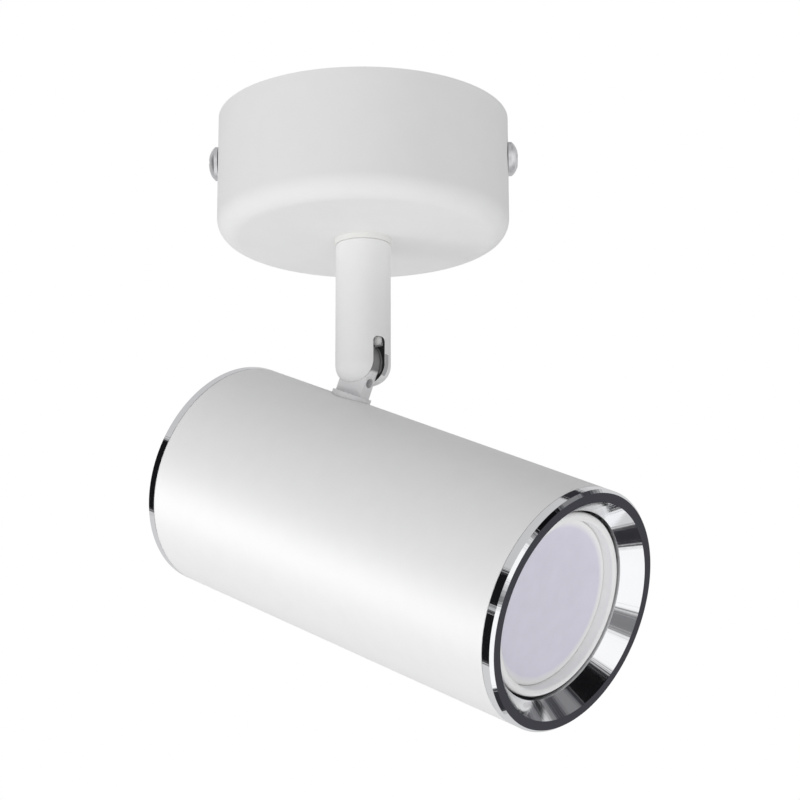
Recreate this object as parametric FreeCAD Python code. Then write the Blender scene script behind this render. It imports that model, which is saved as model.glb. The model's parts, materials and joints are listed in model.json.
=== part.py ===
import FreeCAD, Part
import math
import os

# A wall and ceiling spotlight: a round canopy, a stem that turns below it,
# and a tubular lamp head that tilts in a slot at the lower end of the stem.
# All lengths are in millimetres. The ceiling is the plane z = 0, and the
# canopy's axis is Z. +X runs along the two screws that hold the cover.

# Clearances and cuts
overrun = 1.0
thread_clearance = 0.05
seat_clearance = 0.05
running_clearance = 0.1
same_point = 0.000001

# Canopy cover, a drawn steel cup
canopy_radius = 40.0
canopy_wall = 1.2
canopy_round = 5.6

# Screws in the side of the cover
cover_screw_drop = 11.7
cover_screw_radius = 2.0
cover_screw_length = 6.0
cover_head_radius = 4.7
cover_head_rim = 0.9
cover_head_height = 2.5
cover_hole_clearance = 0.3

# Cross recess of every cross-head screw, as shares of its head
recess_span_share = 0.56
recess_width_share = 0.13
recess_depth_share = 0.62

# Mounting bracket, a bent steel strip
strip_thickness = 1.5
strip_width = 20.0
strip_bend = 1.5
strip_corner_gap = 4.18
lug_width = 12.0
lug_drop = 20.0
lug_gap = 0.3
slot_length = 12.0
slot_width = 4.5
slot_land = 2.0

# Earth point on the bracket
earth_gap = 0.4
earth_screw_radius = 1.5
earth_screw_length = 2.1
earth_head_radius = 2.8
earth_head_height = 2.0
earth_washer_radius = 3.2
earth_washer_thickness = 0.6

# Terminal block
terminal_count = 3
terminal_width = 16.0
terminal_height = 12.5
terminal_drop = 4.5
terminal_lip = 1.0
terminal_edge_round = 0.8
terminal_web = 0.3
clamp_radius = 2.3
clamp_bore = 1.6
terminal_screw_radius = 1.25
terminal_screw_place = 4.3
terminal_screw_sink = 0.8
terminal_slot_width = 0.5
terminal_slot_depth = 0.6
fixing_screw_radius = 1.25
fixing_head_radius = 2.0
fixing_head_height = 1.6

# Leads in the canopy
lead_radius = 0.65
lead_bundle = 0.85
lead_clear = 12.0
lead_grip = 4.0
lead_room = 3.5
lead_rise = 6.0
lead_turn_share = 0.97
lead_drop_turn_share = 0.98

# Turning joint between the canopy and the stem
nipple_radius = 5.0
nipple_wall = 1.5
nipple_flat = 0.8
nipple_depth = 10.0
nipple_rise = 2.0
collar_lip = 0.25
collar_thickness = 1.55
friction_washer_radius = 10.0
friction_washer_thickness = 0.8
stop_washer_radius = 9.0
stop_washer_thickness = 1.0
stop_tab_width = 2.0
spring_radius = 8.0
spring_thickness = 0.5
spring_rise = 0.5
nut_across_flats = 14.0
nut_thickness = 4.0
bush_flange = 1.0
bush_depth = 5.0
bush_wall = 0.6
bush_round_share = 0.45
stop_stud_radius = 0.75
stop_stud_gap = 1.25
stop_stud_over = 0.5

# Stem and the fork at its lower end
stem_radius = 7.5
stem_reach = 33.95
stem_below_pivot = 5.3
stem_end_round_share = 0.72
stem_top_edge = 0.3
fork_width = 3.7
fork_offset = 1.95
fork_top_round_share = 0.35

# Sleeve over the leads in the stem
sleeve_radius = 1.5
sleeve_clearance = 0.15
sleeve_wall = 0.35
sleeve_side = 1.0
sleeve_turn = 12.0
sleeve_end_round = 1.4
sleeve_under_bush = 0.5
sleeve_under_nipple = 1.95
sleeve_over_slot = 4.2

# Pivot screw, sunk in the thick ear of the fork
pivot_radius = 1.5
pivot_head_radius = 2.75
pivot_head_height = 2.0
pivot_head_sink = 0.6
pivot_tip_wall = 1.5
pivot_socket_radius = 1.1

# Attitude of the head in the photograph
head_heading = 34.7
head_tilt = 23.5

# Knuckle: round tongue, neck, flange and hollow stud
tongue_clearance = 0.05
tongue_round = 6.4
tongue_edge_round = 1.0
tongue_gap = 0.2
tongue_head_gap = 0.3
neck_width = 9.1
neck_forward = 1.2
flange_radius = 5.4
flange_thickness = 1.1
flange_swing_gap = 0.65
stud_radius = 4.0
stud_bore = 2.4
stud_past_nut = 1.0
wire_hole_radius = 1.3
wire_web = 1.0
knuckle_washer_radius = 7.0
knuckle_washer_thickness = 0.8
knuckle_nut_flats = 12.0
knuckle_nut_thickness = 3.0

# Reflector lamp
lamp_face_depth = 4.9
lamp_rim_radius = 23.7
lamp_rim_wall = 2.1
lamp_rim_height = 6.0
lamp_rim_round = 1.3
lamp_length = 51.4
lamp_waist_radius = 14.5
lamp_base_height = 16.0
lamp_base_radius = 12.5
lamp_base_wall = 1.5
diffuser_recess = 3.0
diffuser_round = 0.5
diffuser_thickness = 1.5
pin_spacing = 10.0
pin_radius = 1.0
pin_head_radius = 2.5
pin_head_height = 2.0
pin_length = 7.0
pin_socket_radius = 2.9
pin_socket_depth = 10.0
board_drop = 10.4
board_gap = 0.9
board_thickness = 1.6
chip_size = 2.8
chip_height = 0.7
chip_ring_radius = 10.0
chip_count = 8
driver_side_gap = 3.0
driver_end_gap = 7.9
driver_thickness = 1.2

# Front bezel
bezel_band = 3.1
bezel_edge_width = 0.7
bezel_edge_depth = 0.8
bezel_face_width = 2.4
bezel_cone_width = 3.55
bezel_cone_depth = 5.0
bezel_throat_gap = 0.7
bezel_lip = 1.1
bezel_lip_wall = 0.6
bezel_cone_wall = 1.0
bezel_web = 2.0
spigot_depth = 9.0
spigot_wall = 1.1
joint_gap = 0.15

# Lamp tube
tube_wall = 1.2
stud_from_rear = 32.65

# Rear ring and cap
rear_band = 2.75
rear_edge = 0.75
rear_lip = 1.2
rear_lip_width = 3.2
rear_cap_wall = 1.0
rear_cap_depth = 6.0
rear_cap_round = 1.5

# Lampholder and its bracket
holder_strip_width = 18.0
holder_strip_thickness = 1.2
holder_strip_bend = 1.5
holder_strip_tail = 8.5
holder_leg_behind = 10.0
holder_leg_past_axis = 10.0
holder_radius = 14.0
holder_height = 23.25
holder_edge_round = 1.0
holder_screw_radius = 1.5
holder_screw_place = 5.2
holder_screw_length = 8.0
holder_head_radius = 2.75
holder_head_height = 1.8
holder_lead_radius = 1.5
holder_lead_turn = 8.0
contact_thickness = 0.6
contact_width = 4.0

# Places worked out in the canopy, from the ceiling down
canopy_inner = canopy_radius - canopy_wall
clamp_level = -strip_thickness - terminal_drop
terminal_low = -strip_thickness - terminal_height
lead_run = terminal_low - lead_room
nipple_top = lead_run - lead_rise - bush_flange
nut_low = nipple_top - nipple_rise - nut_thickness
spring_low = nut_low - spring_rise - spring_thickness
stop_washer_low = spring_low - stop_washer_thickness
floor_top = stop_washer_low - friction_washer_thickness
canopy_height = canopy_wall - floor_top

# Places worked out across the canopy
lug_outer = math.sqrt((canopy_inner - lug_gap) ** 2 - (lug_width / 2) ** 2)
strip_corner = math.sqrt((canopy_inner - lug_gap) ** 2 - (strip_width / 2) ** 2)
strip_shoulder = strip_corner - strip_corner_gap
slot_place = strip_shoulder - slot_land - slot_length / 2
terminal_pitch = 2 * (clamp_radius + seat_clearance + terminal_web
                      + fixing_screw_radius + running_clearance)
fixing_place = -terminal_pitch / 2
terminal_length = terminal_count * terminal_pitch
earth_place = terminal_length / 2 + earth_washer_radius + earth_gap
earth_side = strip_width / 2 - earth_washer_radius - earth_gap
lead_reach = terminal_width / 2 + lead_clear
lead_turn = (clamp_level - lead_run) / 2 * lead_turn_share
lead_drop_turn = lead_rise * lead_drop_turn_share
nipple_bore = nipple_radius - nipple_wall
bush_bore = nipple_bore - bush_wall
stop_stud_place = friction_washer_radius + stop_stud_radius + stop_stud_gap
stop_tab_reach = stop_stud_place + stop_stud_radius + stop_stud_gap
stop_stud_top = spring_low + stop_stud_over

# Places worked out in the stem
collar_radius = stem_radius + collar_lip
stem_top = -canopy_height - collar_thickness
nipple_low = stem_top - nipple_depth
pivot_level = stem_top - stem_reach
stem_low = pivot_level - stem_below_pivot
slot_top = pivot_level + tongue_round + tongue_head_gap
fork_near = -fork_offset - fork_width / 2
fork_far = -fork_offset + fork_width / 2
tongue_thickness = fork_width - 2 * tongue_clearance
pivot_tip = pivot_tip_wall - stem_radius
pivot_head_top = stem_radius - pivot_head_sink
pivot_head_floor = pivot_head_top - pivot_head_height
sleeve_out = stem_radius - sleeve_wall - sleeve_clearance - sleeve_radius
sleeve_forward = math.sqrt(sleeve_out ** 2 - sleeve_side ** 2)
sleeve_high = nipple_top - bush_depth - sleeve_under_bush
sleeve_bend = nipple_low - sleeve_under_nipple
sleeve_level = slot_top + sleeve_over_slot
sleeve_edge = sleeve_forward - sleeve_radius + sleeve_end_round
tongue_reach = tongue_round + tongue_gap + sleeve_end_round
sleeve_low = pivot_level + math.sqrt(tongue_reach ** 2 - sleeve_edge ** 2) - sleeve_end_round

# Places worked out in the head, from its front face back
lamp_rim_inner = lamp_rim_radius - lamp_rim_wall
bezel_throat_radius = lamp_rim_radius + bezel_throat_gap
bezel_mouth_radius = bezel_throat_radius + bezel_cone_width
tube_radius = bezel_mouth_radius + bezel_face_width + bezel_edge_width
tube_inner = tube_radius - tube_wall
spigot_radius = tube_inner - seat_clearance
spigot_inner = spigot_radius - spigot_wall
tube_front = -bezel_band - joint_gap
lamp_front = -lamp_face_depth
rim_back = lamp_front - lamp_rim_height
board_front = lamp_front - board_drop
board_back = board_front - board_thickness
lamp_base_end = lamp_front - lamp_length
lamp_waist = lamp_base_end + lamp_base_height
board_rise = (board_back - lamp_waist) / (rim_back - lamp_waist)
bowl_radius = lamp_waist_radius + (lamp_rim_inner - lamp_waist_radius) * board_rise - lamp_base_wall
board_radius = bowl_radius - board_gap
driver_width = 2 * (lamp_base_radius - lamp_base_wall - driver_side_gap)
driver_low = lamp_base_end + lamp_base_wall
driver_high = board_back - driver_end_gap
holder_front = lamp_base_end - seat_clearance
holder_leg = holder_front - holder_height
stud_place = holder_leg - holder_leg_behind
pivot_place = stud_place - neck_forward
head_length = stud_from_rear - stud_place
tube_rear = -head_length + rear_band + joint_gap

# Places worked out across the head
strip_outer = math.sqrt((tube_inner - seat_clearance) ** 2 - (holder_strip_width / 2) ** 2)
strip_inner = strip_outer - holder_strip_thickness
washer_inner = strip_inner - knuckle_washer_thickness
knuckle_nut_inner = washer_inner - knuckle_nut_thickness
stud_end = knuckle_nut_inner - stud_past_nut
flange_top = tube_radius + flange_thickness
pivot_rise = flange_top + flange_swing_gap + stem_radius
wire_level = pivot_rise - pivot_radius - running_clearance - wire_web - wire_hole_radius


def vec(x, y, z):
    return FreeCAD.Vector(x, y, z)


# Shapes shared by the pieces

def corner_arc(before, at, after, radius):
    """Start, middle and end of the arc that rounds the corner at a point."""
    inward = (before - at).normalize()
    outward = (after - at).normalize()
    half = inward.getAngle(outward) / 2
    reach = radius / math.tan(half)
    bisector = (inward + outward).normalize()
    centre = at + bisector * (radius / math.sin(half))
    return at + inward * reach, centre - bisector * radius, at + outward * reach


def joined(spans, closed):
    """Edges along spans of (start, middle, end), with lines between them."""
    edges = []
    last = len(spans) if closed else len(spans) - 1
    for index, (start, middle, end) in enumerate(spans):
        if middle is not None:
            edges.append(Part.Arc(start, middle, end).toShape())
        if index < last:
            following = spans[(index + 1) % len(spans)][0]
            if end.distanceToPoint(following) > same_point:
                edges.append(Part.makeLine(end, following))
    return Part.Wire(edges)


def outline(corners):
    """Closed wire through (point, corner radius) pairs."""
    spans = []
    for index, (at, radius) in enumerate(corners):
        if radius > 0:
            before = corners[index - 1][0]
            after = corners[(index + 1) % len(corners)][0]
            spans.append(corner_arc(before, at, after, radius))
        else:
            spans.append((at, None, at))
    return joined(spans, True)


def route(points, turns):
    """Open wire through points, with an arc of its own radius at each turn."""
    spans = [(points[0], None, points[0])]
    for index, radius in enumerate(turns, start=1):
        spans.append(corner_arc(points[index - 1], points[index], points[index + 1], radius))
    spans.append((points[-1], None, points[-1]))
    return joined(spans, False)


def turned(corners):
    """Solid of revolution about Z from (radius, z, corner radius) corners."""
    wire = outline([(vec(r, 0, z), corner) for r, z, corner in corners])
    return Part.Face(wire).revolve(vec(0, 0, 0), vec(0, 0, 1), 360)


def bent(corners, width):
    """Strip of an outline in XZ, centred on the plane y = 0."""
    wire = outline([(vec(x, -width / 2, z), corner) for x, z, corner in corners])
    return Part.Face(wire).extrude(vec(0, width, 0))


def wire_body(points, turns, radius):
    """Round wire along a route."""
    path = route(points, turns)
    start = (points[1] - points[0]).normalize()
    section = Part.Wire([Part.makeCircle(radius, points[0], start)])
    return path.makePipeShell([section], True, False)


def rod(radius, low, high):
    return Part.makeCylinder(radius, high - low, vec(0, 0, low))


def rod_along(radius, start, end):
    return Part.makeCylinder(radius, (end - start).Length, start, end - start)


def washer(outer, inner, low, high):
    ring = rod(outer, low, high)
    return ring.cut(rod(inner, low - overrun, high + overrun))


def block(x0, x1, y0, y1, z0, z1):
    return Part.makeBox(x1 - x0, y1 - y0, z1 - z0, vec(x0, y0, z0))


def hexagon(across_flats, low, high):
    """Six-sided prism about Z with its corners slightly turned off."""
    corner = across_flats / math.sqrt(3)
    points = []
    for side in range(7):
        angle = math.radians(60 * side)
        points.append(vec(corner * math.cos(angle), corner * math.sin(angle), low))
    prism = Part.Face(Part.makePolygon(points)).extrude(vec(0, 0, high - low))
    bevel = corner - across_flats / 2
    body = turned([(0, low, 0), (corner - bevel, low, 0), (corner, low + bevel / 2, 0),
                   (corner, high - bevel / 2, 0), (corner - bevel, high, 0), (0, high, 0)])
    return prism.common(body)


def oblong(start, end, radius, low, high):
    """Upright prism whose plan is the stretch between two circles."""
    along = (end - start).normalize()
    side = vec(-along.y, along.x, 0) * radius
    base = vec(0, 0, low)
    first = Part.Arc(start + side + base, start - along * radius + base, start - side + base)
    second = Part.Arc(end - side + base, end + along * radius + base, end + side + base)
    edges = [first.toShape(), Part.makeLine(start - side + base, end - side + base),
             second.toShape(), Part.makeLine(end + side + base, start + side + base)]
    return Part.Face(Part.Wire(edges)).extrude(vec(0, 0, high - low))


def cross_screw(shank, length, head, rim, height):
    """Screw along Z with its head above z = 0, a domed top and a cross recess."""
    dome = Part.Arc(vec(head, 0, rim), vec(head * math.cos(math.pi / 4), 0,
                    rim + (height - rim) * math.sin(math.pi / 4)), vec(0, 0, height))
    edges = [Part.makeLine(vec(0, 0, 0), vec(head, 0, 0)),
             Part.makeLine(vec(head, 0, 0), vec(head, 0, rim)), dome.toShape(),
             Part.makeLine(vec(0, 0, height), vec(0, 0, 0))]
    top = Part.Face(Part.Wire(edges)).revolve(vec(0, 0, 0), vec(0, 0, 1), 360)
    span = head * recess_span_share
    width = head * recess_width_share
    depth = height * recess_depth_share
    for x, y in ((span, width), (width, span)):
        top = top.cut(block(-x, x, -y, y, height - depth, height + overrun))
    return top.fuse(rod(shank, -length, 0)).removeSplitter()


def slotted_screw(radius, low, high):
    """Headless screw along Z with a driver slot in its lower end."""
    body = rod(radius, low, high)
    half = terminal_slot_width / 2
    reach = radius + overrun
    slot = block(-reach, reach, -half, half, low - overrun, low + terminal_slot_depth)
    return body.cut(slot)


def moved(shape, x, y, z):
    copy = shape.copy()
    copy.translate(vec(x, y, z))
    return copy


def spun(shape, axis, angle):
    copy = shape.copy()
    copy.rotate(vec(0, 0, 0), axis, angle)
    return copy


def group(shapes):
    return Part.makeCompound(shapes)


# Canopy

def mounting_bracket():
    side = lug_outer - strip_thickness
    outer_bend = strip_bend + strip_thickness
    strip = bent([(-lug_outer, -lug_drop, 0), (-lug_outer, 0, outer_bend),
                  (lug_outer, 0, outer_bend), (lug_outer, -lug_drop, 0),
                  (side, -lug_drop, 0), (side, -strip_thickness, strip_bend),
                  (-side, -strip_thickness, strip_bend), (-side, -lug_drop, 0)], strip_width)
    for end in (-1, 1):
        for edge in (-1, 1):
            xs = sorted((end * strip_shoulder, end * (lug_outer + overrun)))
            ys = sorted((edge * lug_width / 2, edge * (strip_width / 2 + overrun)))
            strip = strip.cut(block(xs[0], xs[1], ys[0], ys[1], -lug_drop - overrun, overrun))
        half = (slot_length - slot_width) / 2
        middle = end * slot_place
        strip = strip.cut(oblong(vec(middle - half, 0, 0), vec(middle + half, 0, 0),
                                 slot_width / 2, -strip_thickness - overrun, overrun))
        hole_end = vec(end * (lug_outer + overrun), 0, -cover_screw_drop)
        hole_start = vec(end * (side - overrun), 0, -cover_screw_drop)
        strip = strip.cut(rod_along(cover_screw_radius + thread_clearance, hole_start, hole_end))
    fixing = rod(fixing_screw_radius + thread_clearance, -strip_thickness - overrun, overrun)
    strip = strip.cut(moved(fixing, fixing_place, 0, 0))
    earth = rod(earth_screw_radius + thread_clearance, -strip_thickness - overrun, overrun)
    return strip.cut(moved(earth, earth_place, earth_side, 0))


def canopy_cover():
    inner_round = canopy_round - canopy_wall
    hole = nipple_radius + running_clearance
    cup = turned([(hole, -canopy_height, 0), (canopy_radius, -canopy_height, canopy_round),
                  (canopy_radius, 0, 0), (canopy_inner, 0, 0),
                  (canopy_inner, floor_top, inner_round), (hole, floor_top, 0)])
    reach = canopy_radius + overrun
    side_hole = rod_along(cover_screw_radius + cover_hole_clearance,
                          vec(-reach, 0, -cover_screw_drop), vec(reach, 0, -cover_screw_drop))
    return cup.cut(side_hole)


def cover_screws():
    screw = cross_screw(cover_screw_radius, cover_screw_length, cover_head_radius,
                        cover_head_rim, cover_head_height)
    screws = []
    for end in (-1, 1):
        turned_out = spun(screw, vec(0, 1, 0), 90 * end)
        screws.append(moved(turned_out, end * canopy_radius, 0, -cover_screw_drop))
    return group(screws)


def earth_washer():
    ring = washer(earth_washer_radius, earth_screw_radius + running_clearance,
                  -strip_thickness - earth_washer_thickness, -strip_thickness)
    return moved(ring, earth_place, earth_side, 0)


def earth_screw():
    screw = cross_screw(earth_screw_radius, earth_screw_length, earth_head_radius,
                        earth_head_height / 2, earth_head_height)
    hanging = spun(screw, vec(1, 0, 0), 180)
    return moved(hanging, earth_place, earth_side, -strip_thickness - earth_washer_thickness)


def terminal_poles():
    first = -(terminal_count - 1) / 2
    return [(first + pole) * terminal_pitch for pole in range(terminal_count)]


def terminal_block():
    body = block(-terminal_length / 2, terminal_length / 2, -terminal_width / 2,
                 terminal_width / 2, terminal_low, -strip_thickness)
    upright = [edge for edge in body.Edges if abs(edge.tangentAt(edge.FirstParameter).z) > 0.5]
    body = body.makeFillet(terminal_edge_round, upright)
    for pole in terminal_poles():
        channel = rod_along(clamp_radius + seat_clearance,
                            vec(pole, -terminal_width / 2 - overrun, clamp_level),
                            vec(pole, terminal_width / 2 + overrun, clamp_level))
        body = body.cut(channel)
        for place in (-terminal_screw_place, terminal_screw_place):
            shaft = rod(terminal_screw_radius + running_clearance,
                        terminal_low - overrun, clamp_level)
            body = body.cut(moved(shaft, pole, place, 0))
    hole = rod(fixing_screw_radius + running_clearance, terminal_low - overrun, overrun)
    sink = rod(fixing_head_radius + running_clearance, terminal_low - overrun,
               terminal_low + fixing_head_height)
    return body.cut(moved(hole.fuse(sink), fixing_place, 0, 0))


def terminal_clamps():
    half = terminal_width / 2 - terminal_lip
    clamps = []
    for pole in terminal_poles():
        tube = rod_along(clamp_radius, vec(pole, -half, clamp_level), vec(pole, half, clamp_level))
        bore = rod_along(clamp_bore, vec(pole, -half - overrun, clamp_level),
                         vec(pole, half + overrun, clamp_level))
        tube = tube.cut(bore)
        for place in (-terminal_screw_place, terminal_screw_place):
            hole = rod(terminal_screw_radius + thread_clearance,
                       clamp_level - clamp_radius - overrun, clamp_level)
            tube = tube.cut(moved(hole, pole, place, 0))
        clamps.append(tube)
    return group(clamps)


def terminal_screws():
    screws = []
    tip = clamp_level - lead_radius - thread_clearance
    for pole in terminal_poles():
        for place in (-terminal_screw_place, terminal_screw_place):
            screw = slotted_screw(terminal_screw_radius, terminal_low + terminal_screw_sink, tip)
            screws.append(moved(screw, pole, place, 0))
    return group(screws)


def terminal_fixing_screw():
    length = terminal_height - fixing_head_height + strip_thickness
    screw = cross_screw(fixing_screw_radius, length, fixing_head_radius,
                        fixing_head_height / 2, fixing_head_height)
    hanging = spun(screw, vec(1, 0, 0), 180)
    return moved(hanging, fixing_place, 0, terminal_low + fixing_head_height)


def canopy_lead(number):
    """Wire from one terminal round into the hollow nipple below."""
    pole = terminal_poles()[number]
    angle = math.radians(210 - 120 * number)
    bundle_x = lead_bundle * math.cos(angle)
    bundle_y = lead_bundle * math.sin(angle)
    points = [vec(pole, lead_grip, clamp_level), vec(pole, lead_reach, clamp_level),
              vec(pole, lead_reach, lead_run), vec(bundle_x, bundle_y, lead_run),
              vec(bundle_x, bundle_y, sleeve_high)]
    return wire_body(points, [lead_turn, lead_turn, lead_drop_turn], lead_radius)


# Turning joint

def swivel_washer():
    return washer(collar_radius, nipple_radius + running_clearance, stem_top, -canopy_height)


def friction_washer():
    return washer(friction_washer_radius, nipple_radius + running_clearance,
                  floor_top, stop_washer_low)


def nipple_section(radius, low, high):
    """Round bar with one flat along it, on the side away from the head."""
    flat = nipple_radius - nipple_flat + (radius - nipple_radius)
    away = block(-radius - overrun, -flat, -radius, radius, low, high)
    return rod(radius, low, high).cut(away)


def stem_nipple():
    threaded = rod(nipple_radius, nipple_low, floor_top)
    keyed = nipple_section(nipple_radius, floor_top, nipple_top)
    bar = threaded.fuse(keyed).removeSplitter()
    return bar.cut(rod(nipple_bore, nipple_low - overrun, nipple_top + overrun))


def stop_washer():
    """Washer keyed to the nipple's flat, with a tab that meets the stud."""
    high = stop_washer_low + stop_washer_thickness
    disc = rod(stop_washer_radius, stop_washer_low, high)
    half = stop_tab_width / 2
    tab = block(0, stop_tab_reach, -half, half, stop_washer_low, high)
    keyhole = nipple_section(nipple_radius + seat_clearance, stop_washer_low - overrun,
                             high + overrun)
    return disc.fuse(tab).removeSplitter().cut(keyhole)


def disc_spring():
    inner = nipple_radius + running_clearance
    return turned([(spring_radius, spring_low, 0),
                   (spring_radius, spring_low + spring_thickness, 0),
                   (inner, spring_low + spring_thickness + spring_rise, 0),
                   (inner, spring_low + spring_rise, 0)])


def stem_nut():
    nut = hexagon(nut_across_flats, nut_low, nut_low + nut_thickness)
    return nut.cut(rod(nipple_radius + thread_clearance, nut_low - overrun,
                       nut_low + nut_thickness + overrun))


def nipple_bush():
    collar_top = nipple_top + bush_flange
    sleeve_outer = nipple_bore - seat_clearance
    low = nipple_top - bush_depth
    round_edge = bush_flange * bush_round_share
    return turned([(bush_bore, low, 0), (sleeve_outer, low, 0), (sleeve_outer, nipple_top, 0),
                   (nipple_radius, nipple_top, 0), (nipple_radius, collar_top, round_edge),
                   (bush_bore, collar_top, round_edge)])


def stop_stud():
    """Stud welded on the canopy's floor, on the -X side."""
    return moved(rod(stop_stud_radius, floor_top, stop_stud_top), -stop_stud_place, 0, 0)


# Stem, drawn with its fork across X and turned to the head's heading

def stem():
    end_round = stem_radius * stem_end_round_share
    bar = turned([(0, stem_low, 0), (stem_radius, stem_low, end_round),
                  (stem_radius, stem_top, stem_top_edge), (0, stem_top, 0)])
    bar = bar.cut(rod(nipple_radius + thread_clearance, nipple_low, stem_top + overrun))
    sleeve_way = sleeve_radius + sleeve_clearance
    passage = oblong(vec(0, 0, 0), vec(sleeve_forward, -sleeve_side, 0), sleeve_way,
                     slot_top - overrun, nipple_low + overrun)
    pocket = rod(sleeve_way, sleeve_low - sleeve_clearance, slot_top)
    pocket = moved(pocket, sleeve_forward, -sleeve_side, 0)
    reach = stem_radius + overrun
    low = stem_low - overrun
    top_round = fork_width * fork_top_round_share
    corners = [(vec(-reach, fork_near, low), 0), (vec(-reach, fork_far, low), 0),
               (vec(-reach, fork_far, slot_top), top_round),
               (vec(-reach, fork_near, slot_top), top_round)]
    fork = Part.Face(outline(corners)).extrude(vec(2 * reach, 0, 0))
    bar = bar.cut(passage).cut(pocket).cut(fork)
    hole = rod_along(pivot_radius + thread_clearance, vec(0, pivot_tip, pivot_level),
                     vec(0, reach, pivot_level))
    sink = rod_along(pivot_head_radius + running_clearance,
                     vec(0, pivot_head_floor, pivot_level), vec(0, reach, pivot_level))
    return bar.cut(hole).cut(sink)


def pivot_screw():
    shank = rod_along(pivot_radius, vec(0, pivot_tip, pivot_level),
                      vec(0, pivot_head_floor, pivot_level))
    head = rod_along(pivot_head_radius, vec(0, pivot_head_floor, pivot_level),
                     vec(0, pivot_head_top, pivot_level))
    socket = spun(hexagon(2 * pivot_socket_radius, -pivot_head_height / 2, overrun),
                  vec(1, 0, 0), -90)
    socket = moved(socket, 0, pivot_head_top, pivot_level)
    return shank.fuse(head).removeSplitter().cut(socket)


def lead_sleeve():
    """Sleeve over the leads, from the nipple to the front of the slot's top."""
    points = [vec(0, 0, sleeve_high), vec(0, 0, sleeve_bend),
              vec(sleeve_forward, -sleeve_side, sleeve_level),
              vec(sleeve_forward, -sleeve_side, sleeve_low)]
    sleeve = wire_body(points, [sleeve_turn, sleeve_turn], sleeve_radius)
    end_edges = [edge for edge in sleeve.Edges
                 if abs(edge.CenterOfMass.z - sleeve_low) < same_point]
    return sleeve.makeFillet(sleeve_end_round, end_edges)


# Lamp head, drawn with the lamp's axis along Z, its front face at z = 0
# and the knuckle on the +X side

def knuckle():
    """Round tongue on a neck and a flange, with a wire way down the hollow stud."""
    pivot = vec(pivot_rise, 0, pivot_place)
    half = tongue_thickness / 2
    disc = turned([(0, -half, 0), (tongue_round, -half, tongue_edge_round),
                   (tongue_round, half, tongue_edge_round), (0, half, 0)])
    disc = moved(spun(disc, vec(1, 0, 0), 90), pivot_rise, 0, pivot_place)
    neck = block(tube_radius, pivot_rise, -half, half,
                 stud_place - neck_width / 2, stud_place + neck_width / 2)
    flange = rod_along(flange_radius, vec(tube_inner, 0, stud_place),
                       vec(flange_top, 0, stud_place))
    saddle = rod(tube_radius + seat_clearance, stud_place - 2 * flange_radius,
                 stud_place + 2 * flange_radius)
    top = disc.fuse([neck, flange]).cut(saddle)
    stud = rod_along(stud_radius, vec(stud_end, 0, stud_place),
                     vec((tube_radius + flange_top) / 2, 0, stud_place))
    body = top.fuse(stud).removeSplitter()
    bore = rod_along(stud_bore, vec(stud_end - overrun, 0, stud_place),
                     vec(tube_radius, 0, stud_place))
    rising = rod_along(wire_hole_radius, vec(tube_inner, 0, stud_place),
                       vec(wire_level, 0, stud_place))
    forward = rod_along(wire_hole_radius, vec(wire_level, 0, stud_place),
                        vec(wire_level, 0, stud_place + neck_width))
    hole = rod_along(pivot_radius + running_clearance, pivot - vec(0, half + overrun, 0),
                     pivot + vec(0, half + overrun, 0))
    return body.cut(bore).cut(rising).cut(forward).cut(hole)


def lamp_tube():
    tube = washer(tube_radius, tube_inner, tube_rear, tube_front)
    hole = rod_along(stud_radius + running_clearance, vec(0, 0, stud_place),
                     vec(pivot_rise, 0, stud_place))
    return tube.cut(hole)


def front_bezel():
    slope = (bezel_mouth_radius - bezel_throat_radius) / bezel_cone_depth
    cone_back = bezel_mouth_radius + bezel_cone_wall
    return turned([(bezel_mouth_radius, 0, 0),
                   (tube_radius - bezel_edge_width, 0, 0),
                   (tube_radius, -bezel_edge_depth, 0),
                   (tube_radius, -bezel_band, 0),
                   (spigot_radius, -bezel_band, 0),
                   (spigot_radius, -spigot_depth, 0),
                   (spigot_inner, -spigot_depth, 0),
                   (spigot_inner, -bezel_web, 0),
                   (cone_back - slope * bezel_web, -bezel_web, 0),
                   (cone_back - slope * bezel_cone_depth, -bezel_cone_depth, 0),
                   (bezel_throat_radius + bezel_lip_wall, -bezel_cone_depth - bezel_lip, 0),
                   (bezel_throat_radius, -bezel_cone_depth - bezel_lip, 0),
                   (bezel_throat_radius, -bezel_cone_depth, 0)])


def rear_ring():
    lip_radius = spigot_inner - rear_lip_width
    rear = -head_length
    band_front = rear + rear_band
    return turned([(lip_radius, rear, 0), (tube_radius - rear_edge, rear, 0),
                   (tube_radius, rear + rear_edge, 0), (tube_radius, band_front, 0),
                   (spigot_radius, band_front, 0), (spigot_radius, rear + spigot_depth, 0),
                   (spigot_inner, rear + spigot_depth, 0), (spigot_inner, rear + rear_lip, 0),
                   (lip_radius, rear + rear_lip, 0)])


def rear_cap():
    outer = spigot_inner - seat_clearance
    inner = outer - rear_cap_wall
    back = -head_length + rear_lip
    front = back + rear_cap_depth
    return turned([(0, back, 0), (outer, back, rear_cap_round), (outer, front, 0),
                   (inner, front, 0), (inner, back + rear_cap_wall, 0),
                   (0, back + rear_cap_wall, 0)])


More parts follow.
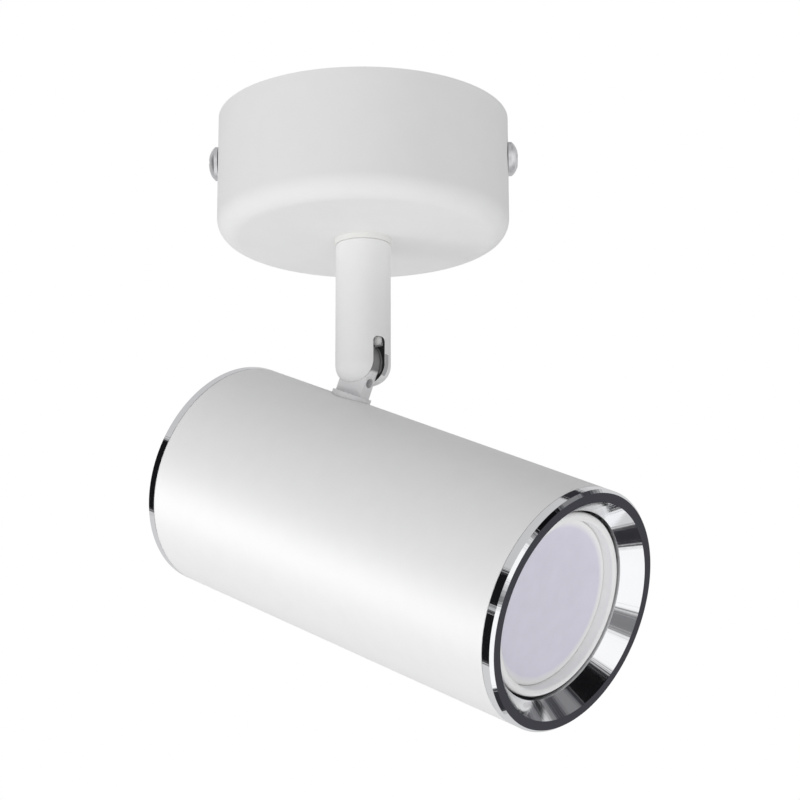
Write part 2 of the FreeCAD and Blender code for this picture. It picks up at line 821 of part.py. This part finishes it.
def holder_bracket():
    """Angled strip: one leg under the knuckle's nut, one behind the lampholder."""
    tail = stud_place - holder_strip_tail
    leg_front = holder_leg
    leg_back = holder_leg - holder_strip_thickness
    outer_bend = holder_strip_bend + holder_strip_thickness
    strip = bent([(strip_outer, tail, 0), (strip_outer, leg_front, outer_bend),
                  (-holder_leg_past_axis, leg_front, 0), (-holder_leg_past_axis, leg_back, 0),
                  (strip_inner, leg_back, holder_strip_bend), (strip_inner, tail, 0)],
                 holder_strip_width)
    strip = strip.cut(rod_along(stud_radius + running_clearance, vec(stud_end, 0, stud_place),
                                vec(tube_inner, 0, stud_place)))
    strip = strip.cut(rod(holder_lead_radius + sleeve_clearance, leg_back - overrun,
                          leg_front + overrun))
    for side in (-1, 1):
        hole = rod(holder_screw_radius + running_clearance, leg_back - overrun,
                   leg_front + overrun)
        strip = strip.cut(moved(hole, 0, side * holder_screw_place, 0))
    return strip


def knuckle_washer():
    outer = rod_along(knuckle_washer_radius, vec(washer_inner, 0, stud_place),
                      vec(strip_inner, 0, stud_place))
    return outer.cut(rod_along(stud_radius + running_clearance, vec(stud_end, 0, stud_place),
                               vec(tube_inner, 0, stud_place)))


def knuckle_nut():
    nut = hexagon(knuckle_nut_flats, 0, knuckle_nut_thickness)
    nut = nut.cut(rod(stud_radius + thread_clearance, -overrun, knuckle_nut_thickness + overrun))
    return moved(spun(nut, vec(0, 1, 0), 90), knuckle_nut_inner, 0, stud_place)


def pin_places():
    return (-pin_spacing / 2, pin_spacing / 2)


def lampholder():
    body = turned([(0, holder_leg, 0), (holder_radius, holder_leg, 0),
                   (holder_radius, holder_front, holder_edge_round), (0, holder_front, 0)])
    for place in pin_places():
        socket = rod(pin_socket_radius, holder_front - pin_socket_depth, holder_front + overrun)
        body = body.cut(moved(socket, place, 0, 0))
    for side in (-1, 1):
        hole = rod(holder_screw_radius + thread_clearance, holder_leg - overrun,
                   holder_leg + holder_screw_length)
        body = body.cut(moved(hole, 0, side * holder_screw_place, 0))
    return body


def holder_contacts():
    """Bent brass blades on the floors of the two pin sockets."""
    floor = holder_front - pin_socket_depth
    half = contact_width / 2
    blades = []
    for place in pin_places():
        inner = place - half
        blade = bent([(inner, floor, 0), (inner + contact_width, floor, 0),
                      (inner + contact_width, floor + contact_thickness, 0),
                      (inner + contact_thickness, floor + contact_thickness, 0),
                      (inner + contact_thickness, floor + contact_thickness * 3, 0),
                      (inner, floor + contact_thickness * 3, 0)], contact_thickness * 3)
        blades.append(blade)
    return group(blades)


def holder_screws():
    screw = cross_screw(holder_screw_radius, holder_screw_length, holder_head_radius,
                        holder_head_height / 2, holder_head_height)
    reversed_screw = spun(screw, vec(1, 0, 0), 180)
    back = holder_leg - holder_strip_thickness
    return group([moved(reversed_screw, 0, side * holder_screw_place, back) for side in (-1, 1)])


def holder_lead():
    """Lead from the hollow stud round into the back of the lampholder."""
    points = [vec(tube_inner, 0, stud_place), vec(0, 0, stud_place), vec(0, 0, holder_leg)]
    return wire_body(points, [holder_lead_turn], holder_lead_radius)


def lamp_housing():
    base = lamp_base_end
    wall = lamp_base_wall
    ledge = lamp_front - diffuser_recess - diffuser_thickness
    return turned([(0, base, 0), (lamp_base_radius, base, wall / 2),
                   (lamp_waist_radius, lamp_waist, wall), (lamp_rim_radius, rim_back, wall),
                   (lamp_rim_radius, lamp_front, lamp_rim_round),
                   (lamp_rim_inner, lamp_front, lamp_rim_round / 2), (lamp_rim_inner, ledge, 0),
                   (lamp_rim_inner - wall, ledge, 0), (lamp_rim_inner - wall, rim_back, wall),
                   (lamp_waist_radius - wall, lamp_waist, wall), (lamp_base_radius - wall, base + wall, 0),
                   (0, base + wall, 0)])


def lamp_diffuser():
    radius = lamp_rim_inner - seat_clearance
    front = lamp_front - diffuser_recess
    back = front - diffuser_thickness
    return turned([(0, back, 0), (radius, back, 0), (radius, front, diffuser_round), (0, front, 0)])


def lamp_pins():
    """Two pins with wide ends, as the twist-lock socket needs."""
    pins = []
    tip = lamp_base_end - pin_length
    for place in pin_places():
        pin = rod(pin_radius, tip, lamp_base_end)
        head = rod(pin_head_radius, tip, tip + pin_head_height)
        pins.append(moved(pin.fuse(head).removeSplitter(), place, 0, 0))
    return group(pins)


def led_board():
    return rod(board_radius, board_back, board_front)


def led_chips():
    half = chip_size / 2
    chips = []
    for number in range(chip_count):
        chip = block(chip_ring_radius - half, chip_ring_radius + half, -half, half,
                     board_front, board_front + chip_height)
        chips.append(spun(chip, vec(0, 0, 1), 360 / chip_count * number))
    return group(chips)


def driver_board():
    half = driver_thickness / 2
    return block(-driver_width / 2, driver_width / 2, -half, half, driver_low, driver_high)


# Placing and writing

def on_canopy(shape):
    return shape


def on_stem(shape):
    return spun(shape, vec(0, 0, 1), -head_heading)


def on_head(shape):
    """From the lamp's own frame to its rest place on the pivot."""
    no_turn = FreeCAD.Rotation()
    to_pivot = FreeCAD.Placement(vec(-pivot_rise, 0, -pivot_place), no_turn)
    lay_down = FreeCAD.Placement(vec(0, 0, 0), FreeCAD.Rotation(vec(1, 0, 1), 180))
    tilt = FreeCAD.Placement(vec(0, -fork_offset, 0), FreeCAD.Rotation(vec(0, 1, 0), head_tilt))
    heading = FreeCAD.Rotation(vec(0, 0, 1), -head_heading)
    hang = FreeCAD.Placement(vec(0, 0, pivot_level), heading)
    copy = shape.copy()
    copy.Placement = hang * tilt * lay_down * to_pivot * copy.Placement
    return copy


canopy_pieces = {
    "mounting_bracket": mounting_bracket(),
    "canopy_cover": canopy_cover(),
    "cover_screws": cover_screws(),
    "earth_washer": earth_washer(),
    "earth_screw": earth_screw(),
    "terminal_block": terminal_block(),
    "terminal_clamps": terminal_clamps(),
    "terminal_screws": terminal_screws(),
    "terminal_fixing_screw": terminal_fixing_screw(),
    "live_lead": canopy_lead(0),
    "earth_lead": canopy_lead(1),
    "neutral_lead": canopy_lead(2),
    "swivel_washer": swivel_washer(),
    "stop_stud": stop_stud(),
}

stem_pieces = {
    "friction_washer": friction_washer(),
    "stem_nipple": stem_nipple(),
    "stop_washer": stop_washer(),
    "disc_spring": disc_spring(),
    "stem_nut": stem_nut(),
    "nipple_bush": nipple_bush(),
    "stem": stem(),
    "pivot_screw": pivot_screw(),
    "lead_sleeve": lead_sleeve(),
}

head_pieces = {
    "knuckle": knuckle(),
    "lamp_tube": lamp_tube(),
    "front_bezel": front_bezel(),
    "rear_ring": rear_ring(),
    "rear_cap": rear_cap(),
    "holder_bracket": holder_bracket(),
    "knuckle_washer": knuckle_washer(),
    "knuckle_nut": knuckle_nut(),
    "lampholder": lampholder(),
    "holder_contacts": holder_contacts(),
    "holder_screws": holder_screws(),
    "holder_lead": holder_lead(),
    "lamp_housing": lamp_housing(),
    "lamp_diffuser": lamp_diffuser(),
    "lamp_pins": lamp_pins(),
    "led_board": led_board(),
    "led_chips": led_chips(),
    "driver_board": driver_board(),
}

os.makedirs("parts", exist_ok=True)
for pieces, place in ((canopy_pieces, on_canopy), (stem_pieces, on_stem), (head_pieces, on_head)):
    for name, shape in pieces.items():
        place(shape).exportStep("parts/" + name + ".step")
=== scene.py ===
import json
import math
import bpy
from mathutils import Matrix, Vector

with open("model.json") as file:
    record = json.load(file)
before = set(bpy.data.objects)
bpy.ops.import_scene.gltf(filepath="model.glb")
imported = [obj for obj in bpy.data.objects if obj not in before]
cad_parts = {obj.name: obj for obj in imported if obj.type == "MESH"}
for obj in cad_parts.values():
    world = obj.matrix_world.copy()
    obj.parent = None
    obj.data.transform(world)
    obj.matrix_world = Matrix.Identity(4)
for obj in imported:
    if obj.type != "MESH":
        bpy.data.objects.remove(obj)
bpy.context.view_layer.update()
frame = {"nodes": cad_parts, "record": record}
nodes = frame["nodes"]

# Camera: where it stands, in metres, and how it is turned, in degrees
camera_place = (0.0342, -0.5762, -0.2203)
camera_pan = -2.41
camera_tilt = 13.711
camera_roll = -0.172
camera_lens = 99.4
camera_sensor = 36.0


def add_camera():
    data = bpy.data.cameras.new("camera")
    data.lens = camera_lens
    data.sensor_width = camera_sensor
    camera = bpy.data.objects.new("camera", data)
    bpy.context.scene.collection.objects.link(camera)
    turn = (Matrix.Rotation(math.radians(-camera_pan), 4, "Z")
            @ Matrix.Rotation(math.radians(90 + camera_tilt), 4, "X")
            @ Matrix.Rotation(math.radians(camera_roll), 4, "Z"))
    camera.matrix_world = Matrix.Translation(camera_place) @ turn
    bpy.context.scene.camera = camera


# Directions: the head points along the heading, turned about +Z, and drops at its front
up = (0, 0, 1)
x_axis = (1, 0, 0)
y_axis = (0, 1, 0)
camera_side = (0, -1, 0)
head_turn = math.radians(34.7)
heading = (math.cos(head_turn), -math.sin(head_turn), 0)
near_side = (-math.sin(head_turn), -math.cos(head_turn), 0)
head_drop = math.radians(23.5)
head_up = (math.cos(head_turn) * math.sin(head_drop),
           -math.sin(head_turn) * math.sin(head_drop),
           math.cos(head_drop))

# Places in metres: the tilt's pivot, and the head's axis below it and aside from it
pivot = (0, 0, -0.07)
axis_drop = 0.0403
axis_aside = -0.00195

# Chrome: streaks round the head's axis, and the cone inside the front bezel
streak_count = 30.0
streak_detail = 3.0
streak_relief = 0.000022
cone_radius = 0.02785
cone_rough = 0.045

# Frosted front: where its tint ends, from the head's axis, and how softly
diffuser_edge = 0.0207
diffuser_fade = 0.0016

# Fork: the slot's sides towards the near side, its levels, and how far in the painted shade
# starts
sharp = 0.00002
slot_reach = (0.00008, 0.00382)
slot_levels = (-0.09, -0.06325)
stem_inner = 0.00742

# Tongue: bare metal from the pivot outwards and upwards, and how far the crescent of its grey
# reaches on the slot's wall
tongue_reach = 0.0065
tongue_low = -0.0026
tongue_soft = 0.0006
crescent_reach = 0.0066

# Grey patch beside the slot: its sides towards the near side, and its levels at the pivot
patch_reach = (-0.00165, -0.00002)
patch_levels = (-0.0034, 0.0021)
patch_soft = 0.0001

# Paint
white = (0.86, 0.86, 0.86)
paint_rough = 0.7
tube_rough = 0.55
paint_grain = 1600
paint_shade = 0.985
neck_paint = (0.80, 0.80, 0.81)
neck_rough = 0.4
chrome_tint = (0.95, 0.955, 0.965)
frosted_tint = (0.78, 0.765, 0.875)
# Painted shade for the walls inside the fork's slot
slot_painted_shade = (0.012, 0.012, 0.013)
tongue_grey = (0.21, 0.21, 0.215)
patch_grey = (0.44, 0.44, 0.45)
lamp_plastic = (0.95, 0.95, 0.95)

# Grain of every material: how much coarser the colour's grain is, and the detail of both
broad_share = 12
broad_detail = 3.0
fine_detail = 5.0


# Materials

def shader(name, color, roughness, metallic=0.0):
    """New material, its node tree and its principled shader."""
    material = bpy.data.materials.new(name)
    material.use_nodes = True
    tree = material.node_tree
    principled = tree.nodes["Principled BSDF"]
    principled.inputs["Base Color"].default_value = (*color, 1)
    principled.inputs["Roughness"].default_value = roughness
    principled.inputs["Metallic"].default_value = metallic
    return material, tree, principled


def noise(tree, scale, detail):
    """Noise on the object's own coordinates, scaled per metre."""
    place = tree.nodes.new("ShaderNodeTexCoord")
    texture = tree.nodes.new("ShaderNodeTexNoise")
    texture.inputs["Scale"].default_value = scale
    texture.inputs["Detail"].default_value = detail
    tree.links.new(place.outputs["Object"], texture.inputs["Vector"])
    return texture.outputs["Fac"]


def ramp(tree, source, low, high, low_at=0.3, high_at=0.7):
    """Colour that runs from low to high with the source."""
    node = tree.nodes.new("ShaderNodeValToRGB")
    node.color_ramp.elements[0].position = low_at
    node.color_ramp.elements[1].position = high_at
    node.color_ramp.elements[0].color = (*low, 1)
    node.color_ramp.elements[1].color = (*high, 1)
    tree.links.new(source, node.inputs["Fac"])
    return node.outputs["Color"]


def spread(tree, source, low, high, start=0.0, end=1.0):
    """The source, from start to end, mapped onto low to high."""
    node = tree.nodes.new("ShaderNodeMapRange")
    node.inputs["From Min"].default_value = start
    node.inputs["From Max"].default_value = end
    node.inputs["To Min"].default_value = low
    node.inputs["To Max"].default_value = high
    tree.links.new(source, node.inputs["Value"])
    return node.outputs["Result"]


def bump(tree, principled, height, relief, strength=1.0):
    """Relief on the shader, as high as the relief where the height is 1."""
    node = tree.nodes.new("ShaderNodeBump")
    node.inputs["Distance"].default_value = relief
    node.inputs["Strength"].default_value = strength
    tree.links.new(height, node.inputs["Height"])
    tree.links.new(node.outputs["Normal"], principled.inputs["Normal"])


def varied(name, color, roughness, metallic=0.0, grain=900.0, shade=0.96, rough_by=0.05,
           relief=0.00001, relief_strength=0.3):
    """Material with fine grain in its colour, roughness and relief."""
    material, tree, principled = shader(name, color, roughness, metallic)
    broad = noise(tree, grain / broad_share, broad_detail)
    fine = noise(tree, grain, fine_detail)
    darker = tuple(channel * shade for channel in color)
    tree.links.new(ramp(tree, broad, darker, color), principled.inputs["Base Color"])
    rough = spread(tree, fine, roughness - rough_by, roughness + rough_by)
    tree.links.new(rough, principled.inputs["Roughness"])
    bump(tree, principled, fine, relief, relief_strength)
    return material


def position(tree, centre=(0, 0, 0)):
    """Place on the object, in metres from a centre."""
    place = tree.nodes.new("ShaderNodeTexCoord")
    away = tree.nodes.new("ShaderNodeVectorMath")
    away.operation = "SUBTRACT"
    away.inputs[1].default_value = centre
    tree.links.new(place.outputs["Object"], away.inputs[0])
    return away.outputs["Vector"]


def along(tree, source, axis):
    """How far the source reaches along an axis."""
    node = tree.nodes.new("ShaderNodeVectorMath")
    node.operation = "DOT_PRODUCT"
    node.inputs[1].default_value = axis
    tree.links.new(source, node.inputs[0])
    return node.outputs["Value"]


def combine(tree, operation, first, second):
    """Two sources, or a source and a number, put through a sum."""
    node = tree.nodes.new("ShaderNodeMath")
    node.operation = operation
    for value, slot in zip((first, second), node.inputs):
        if isinstance(value, (int, float)):
            slot.default_value = value
        else:
            tree.links.new(value, slot)
    return node.outputs["Value"]


def within(tree, source, low, high, soft):
    """1 where the source lies between low and high, with soft ends, and 0 elsewhere."""
    parts = []
    for start, end in ((low - soft, low), (high + soft, high)):
        node = tree.nodes.new("ShaderNodeMapRange")
        node.inputs["From Min"].default_value = start
        node.inputs["From Max"].default_value = end
        tree.links.new(source, node.inputs["Value"])
        parts.append(node.outputs["Result"])
    return combine(tree, "MINIMUM", *parts)


def distance(tree, first, second):
    """Distance from the middle, of a place with two coordinates."""
    squares = [combine(tree, "MULTIPLY", value, value) for value in (first, second)]
    return combine(tree, "SQRT", combine(tree, "ADD", *squares), 0)


def radius(tree, source, first, second):
    """Distance from the line that is square to the first and second axes."""
    return distance(tree, along(tree, source, first), along(tree, source, second))


def across_head(tree):
    """Place across the head, up from its axis and aside from it."""
    spot = position(tree, pivot)
    return (combine(tree, "ADD", along(tree, spot, head_up), axis_drop),
            combine(tree, "ADD", along(tree, spot, near_side), axis_aside))


def recolour(material, mask, color):
    """Paint a second colour where the mask is 1."""
    tree = material.node_tree
    principled = tree.nodes["Principled BSDF"]
    mix = tree.nodes.new("ShaderNodeMix")
    mix.data_type = "RGBA"
    tree.links.new(mask, mix.inputs["Factor"])
    tree.links.new(principled.inputs["Base Color"].links[0].from_socket, mix.inputs["A"])
    mix.inputs["B"].default_value = (*color, 1)
    tree.links.new(mix.outputs["Result"], principled.inputs["Base Color"])


def stem_paint():
    """White paint, with painted shade on the walls of the fork's slot, but for a crescent
    round the pivot in the tongue's grey, and a greyer upright patch beside the slot at the
    pivot's level."""
    material = varied("stem_paint", white, paint_rough, grain=paint_grain, shade=paint_shade)
    tree = material.node_tree
    spot = position(tree)
    inside = within(tree, along(tree, spot, near_side), *slot_reach, sharp)
    below = within(tree, along(tree, spot, up), *slot_levels, sharp)
    inner = within(tree, radius(tree, spot, x_axis, y_axis), 0, stem_inner, sharp)
    slot = combine(tree, "MULTIPLY", combine(tree, "MULTIPLY", inside, below), inner)
    # Painted shade: the slot's walls inside the stem are painted near black, where shade falls in
    # the slot
    recolour(material, slot, slot_painted_shade)
    from_pivot = position(tree, pivot)
    height = along(tree, from_pivot, up)
    near = within(tree, radius(tree, from_pivot, heading, up), 0, crescent_reach, sharp)
    upper = within(tree, height, tongue_low, crescent_reach, tongue_soft)
    grey_crescent = combine(tree, "MULTIPLY", near, upper)
    # Beside the tongue, the slot's painted shade gives way to a crescent painted in the tongue's
    # grey
    recolour(material, combine(tree, "MULTIPLY", slot, grey_crescent), tongue_grey)
    level = within(tree, height, *patch_levels, patch_soft)
    aside = within(tree, along(tree, spot, near_side), *patch_reach, patch_soft)
    front = combine(tree, "GREATER_THAN", along(tree, spot, heading), 0)
    patch = combine(tree, "MULTIPLY", combine(tree, "MULTIPLY", level, aside), front)
    recolour(material, patch, patch_grey)
    return material


def tongue_paint():
    """Light paint on the knuckle's neck, and bare grey metal on its round tongue."""
    material = varied("tongue_paint", neck_paint, neck_rough, grain=paint_grain)
    tree = material.node_tree
    spot = position(tree, pivot)
    round_part = within(tree, radius(tree, spot, heading, up), 0, tongue_reach, sharp)
    upper = within(tree, along(tree, spot, up), tongue_low, tongue_reach, tongue_soft)
    recolour(material, combine(tree, "MULTIPLY", round_part, upper), tongue_grey)
    return material


def spun_chrome():
    """Polished metal with fine streaks outwards from the head's axis, rougher on the cone."""
    material = varied("chrome", chrome_tint, 0.05, metallic=1.0, grain=700, shade=0.97,
                      rough_by=0.015)
    tree = material.node_tree
    principled = tree.nodes["Principled BSDF"]
    turn = combine(tree, "ARCTAN2", *across_head(tree))
    texture = tree.nodes.new("ShaderNodeTexNoise")
    texture.noise_dimensions = "1D"
    texture.inputs["Scale"].default_value = streak_count
    texture.inputs["Detail"].default_value = streak_detail
    tree.links.new(turn, texture.inputs["W"])
    cone = within(tree, distance(tree, *across_head(tree)), 0, cone_radius, sharp)
    rough = principled.inputs["Roughness"]
    rougher = combine(tree, "ADD", rough.links[0].from_socket,
                      combine(tree, "MULTIPLY", cone, cone_rough))
    tree.links.new(rougher, rough)
    bump(tree, principled, texture.outputs["Fac"], streak_relief)
    return material


def frosted_diffuser():
    """Frosted plastic with a cold tint, that grows lighter towards the rim."""
    material = varied("frosted_diffuser", frosted_tint, 0.5, grain=2600)
    tree = material.node_tree
    out = distance(tree, *across_head(tree))
    recolour(material, within(tree, out, diffuser_edge, 1, diffuser_fade), lamp_plastic)
    return material


# Materials with nothing but grain
finishes = {
    "white_paint": dict(color=white, roughness=paint_rough, grain=paint_grain, shade=paint_shade),
    "tube_paint": dict(color=white, roughness=tube_rough, grain=2200, shade=paint_shade),
    "nickel_steel": dict(color=(0.70, 0.69, 0.68), roughness=0.16, metallic=1.0, grain=1500,
                         shade=0.85, rough_by=0.06),
    "screw_steel": dict(color=(0.78, 0.78, 0.79), roughness=0.42, metallic=1.0, grain=1500,
                        shade=0.94, rough_by=0.04),
    "zinc_steel": dict(color=(0.60, 0.61, 0.62), roughness=0.38, metallic=1.0, grain=900,
                       shade=0.8, rough_by=0.1),
    "brass": dict(color=(0.78, 0.57, 0.27), roughness=0.3, metallic=1.0, grain=1200, shade=0.85),
    "white_nylon": dict(color=(0.84, 0.84, 0.82), roughness=0.45, grain=1400),
    "white_sleeve": dict(color=(0.74, 0.74, 0.73), roughness=0.6, grain=2500, shade=0.9),
    "brown_lead": dict(color=(0.11, 0.045, 0.02), roughness=0.4, grain=1500, shade=0.8),
    "green_lead": dict(color=(0.14, 0.32, 0.03), roughness=0.4, grain=1500, shade=0.8),
    "blue_lead": dict(color=(0.02, 0.08, 0.35), roughness=0.4, grain=1500, shade=0.8),
    "holder_ceramic": dict(color=(0.80, 0.78, 0.73), roughness=0.55, grain=1800, shade=0.93),
    "lamp_white": dict(color=lamp_plastic, roughness=0.3, grain=1200, shade=0.98),
    "board_aluminium": dict(color=(0.7, 0.7, 0.71), roughness=0.4, metallic=1.0, grain=1000),
    "board_green": dict(color=(0.02, 0.12, 0.05), roughness=0.4, grain=1400, shade=0.8),
    "led_phosphor": dict(color=(0.80, 0.66, 0.10), roughness=0.5, grain=2400),
}

# Nodes with a paint of their own, in place of the one of their slot in the record
own_paint = {"lamp_tube": "tube_paint", "stem": "stem_paint", "cover_screws": "screw_steel"}


def make_materials():
    """Every material, by the name of its slot in the record or of the node's own paint."""
    made = {name: varied(name, **values) for name, values in finishes.items()}
    made["stem_paint"] = stem_paint()
    made["knuckle_paint"] = tongue_paint()
    made["chrome"] = spun_chrome()
    made["frosted_diffuser"] = frosted_diffuser()
    return made


def paint_nodes(materials):
    """Every CAD node gets its own paint, or the material of its slot in the record."""
    for part in frame["record"]["subparts"]:
        node = nodes[part["node"]]
        name = own_paint.get(part["node"], part["material_slot"])
        if not node.material_slots:
            node.data.materials.append(None)
        for slot in node.material_slots:
            slot.material = materials[name]


# Studio: floor, lamps and the world, which also holds the panels that the chrome shows

aim = Vector((0.0, -0.01, -0.11))
floor_level = -1.5
floor_size = 1.4
floor_color = (0.85, 0.85, 0.85)
floor_glow = 0.55

# Lamps: where they stand, seen from the object, their sizes in metres and powers in watts
lamp_distance = 1.5
key_towards = (-0.85, -0.45, -0.27)
key_size = 0.6
key_power = 4.2
sheen_towards = (-0.97, -0.05, -0.25)
sheen_size = 0.7
sheen_power = 26.0

# Soft light for paint: height on the sky, from -1 straight below to 1 straight above,
# and its strength there, and how much stronger the camera's side is
sky_levels = ((-1.0, 0.97), (-0.35, 0.97), (0.1, 0.38), (0.6, 0.33), (1.0, 0.85))
sky_front = 0.25

# Panels that polished metal shows: azimuth and elevation of the middle, half width,
# half height and soft edge in degrees, and brightness. Azimuth 0 is towards the
# camera's side (-Y) and 90 is towards +X. Their blue is a little stronger: by the share,
# and by the amount at most.
blue_share = 1.16
blue_amount = 0.009
panels = {
    "ceiling": (0, 90, 57, 57, 4, 0.57),
    "back_wall": (-167, -12, 56, 50, 3, 0.64),
    "window": (180, 8, 9, 6, 3, 0.88),
    "left_flag": (-81, -5, 22, 30, 2.5, 0.008),
    "left_gap": (-73.5, -1, 4, 1.2, 1, 0.5),
    "face_flag": (116, -17, 11, 10, 3, 0.055),
    "right_wing": (86, 46, 20, 9, 5, 0.22),
    "right_flag": (97.4, 45, 4, 8, 4, 0.05),
    "front_flag": (39.5, 35.5, 14, 12, 5, 0.004),
    "high_flag": (172, 60, 4.5, 8, 2, 0.03),
    "low_flag": (180, -76.5, 12, 11, 3, 0.03),
    "front_stand": (0.5, -18, 7, 7, 6, 0.2),
}


def direction(azimuth, elevation):
    """Unit vector from the object, with azimuth 0 along -Y and 90 along +X."""
    turn, rise = math.radians(azimuth), math.radians(elevation)
    return Vector((math.sin(turn) * math.cos(rise), -math.cos(turn) * math.cos(rise),
                   math.sin(rise)))


def floor_paint():
    """Pale paint that the camera sees as white as the background, with shadows kept."""
    material = varied("floor_paint", floor_color, 0.8, grain=40, shade=0.98)
    tree = material.node_tree
    path = tree.nodes.new("ShaderNodeLightPath")
    glow = tree.nodes.new("ShaderNodeEmission")
    glow_strength = combine(tree, "MULTIPLY", path.outputs["Is Camera Ray"], floor_glow)
    tree.links.new(glow_strength, glow.inputs["Strength"])
    both = tree.nodes.new("ShaderNodeAddShader")
    tree.links.new(tree.nodes["Principled BSDF"].outputs["BSDF"], both.inputs[0])
    tree.links.new(glow.outputs["Emission"], both.inputs[1])
    tree.links.new(both.outputs["Shader"], tree.nodes["Material Output"].inputs["Surface"])
    return material


def add_floor():
    mesh = bpy.data.meshes.new("floor")
    half = floor_size / 2
    corners = [(-half, -half, 0), (half, -half, 0), (half, half, 0), (-half, half, 0)]
    mesh.from_pydata(corners, [], [(0, 1, 2, 3)])
    floor = bpy.data.objects.new("floor", mesh)
    bpy.context.scene.collection.objects.link(floor)
    floor.location = (0, 0, floor_level)
    mesh.materials.append(floor_paint())
    floor.visible_glossy = False


def lamp(name, towards, size, power):
    """Round soft lamp that shines on the object from a direction."""
    data = bpy.data.lights.new(name, "AREA")
    data.shape = "DISK"
    data.size = size
    data.energy = power
    light = bpy.data.objects.new(name, data)
    bpy.context.scene.collection.objects.link(light)
    light.location = aim + Vector(towards).normalized() * lamp_distance
    light.rotation_mode = "QUATERNION"
    light.rotation_quaternion = (aim - light.location).to_track_quat("-Z", "Y")
    return light


def sky_light(tree, ray):
    """Soft light for paint, by height on the sky and by side."""
    height = spread(tree, along(tree, ray, up), 0, 1, -1, 1)
    node = tree.nodes.new("ShaderNodeValToRGB")
    elements = node.color_ramp.elements
    while len(elements) < len(sky_levels):
        elements.new(0.5)
    for element, (level, strength) in zip(elements, sky_levels):
        element.position = (level + 1) / 2
        element.color = (strength, strength, strength, 1)
    tree.links.new(height, node.inputs["Fac"])
    front = spread(tree, along(tree, ray, camera_side), 1 - sky_front, 1 + sky_front, -1, 1)
    return combine(tree, "MULTIPLY", node.outputs["Color"], front)


def panel_light(tree, ray):
    """What polished metal meets: white, with the panels laid over it in turn."""
    value = 1.0
    for azimuth, elevation, half_wide, half_high, soft, level in panels.values():
        middle = direction(azimuth, elevation)
        across = direction(azimuth + 90, 0)
        upward = across.cross(middle) * -1
        edge = math.sin(math.radians(soft))
        wide = math.sin(math.radians(half_wide))
        high = math.sin(math.radians(half_high))
        mask = combine(tree, "MULTIPLY",
                       within(tree, along(tree, ray, across), -wide, wide, edge),
                       within(tree, along(tree, ray, upward), -high, high, edge))
        ahead = combine(tree, "GREATER_THAN", along(tree, ray, middle), 0)
        mask = combine(tree, "MULTIPLY", mask, ahead)
        mix = tree.nodes.new("ShaderNodeMix")
        tree.links.new(mask, mix.inputs["Factor"])
        if isinstance(value, float):
            mix.inputs["A"].default_value = value
        else:
            tree.links.new(value, mix.inputs["A"])
        mix.inputs["B"].default_value = level
        value = mix.outputs["Result"]
    cold = tree.nodes.new("ShaderNodeCombineColor")
    tree.links.new(value, cold.inputs["Red"])
    tree.links.new(value, cold.inputs["Green"])
    blue = combine(tree, "MINIMUM", combine(tree, "MULTIPLY", value, blue_share),
                   combine(tree, "ADD", value, blue_amount))
    tree.links.new(blue, cold.inputs["Blue"])
    return cold.outputs["Color"]


def soft_world():
    """White for the camera, panels for metal and glass, and soft light for paint."""
    world = bpy.data.worlds.new("studio")
    bpy.context.scene.world = world
    world.use_nodes = True
    tree = world.node_tree
    output = tree.nodes["World Output"]
    place = tree.nodes.new("ShaderNodeTexCoord")
    ray = place.outputs["Generated"]
    path = tree.nodes.new("ShaderNodeLightPath")
    sky = tree.nodes["Background"]
    tree.links.new(sky_light(tree, ray), sky.inputs["Color"])
    shown = tree.nodes.new("ShaderNodeBackground")
    tree.links.new(panel_light(tree, ray), shown.inputs["Color"])
    white_back = tree.nodes.new("ShaderNodeBackground")
    white_back.inputs["Color"].default_value = (1, 1, 1, 1)
    result = sky.outputs["Background"]
    seen = combine(tree, "MAXIMUM", path.outputs["Is Glossy Ray"],
                   path.outputs["Is Transmission Ray"])
    for factor, back in ((seen, shown), (path.outputs["Is Camera Ray"], white_back)):
        mix = tree.nodes.new("ShaderNodeMixShader")
        tree.links.new(factor, mix.inputs["Fac"])
        tree.links.new(result, mix.inputs[1])
        tree.links.new(back.outputs["Background"], mix.inputs[2])
        result = mix.outputs["Shader"]
    tree.links.new(result, output.inputs["Surface"])


def add_studio():
    """Floor, world and lamps. The sheen lamp gives the tube its highlight and lights no more."""
    add_floor()
    soft_world()
    key = lamp("key_lamp", key_towards, key_size, key_power)
    key.visible_glossy = False
    sheen = lamp("sheen_lamp", sheen_towards, sheen_size, sheen_power)
    sheen.visible_diffuse = False
    tube_only = bpy.data.collections.new("tube_only")
    tube_only.objects.link(nodes["lamp_tube"])
    sheen.light_linking.receiver_collection = tube_only


# Everything in order

add_camera()
paint_nodes(make_materials())
add_studio()

bpy.context.scene.view_settings.view_transform = "Standard"
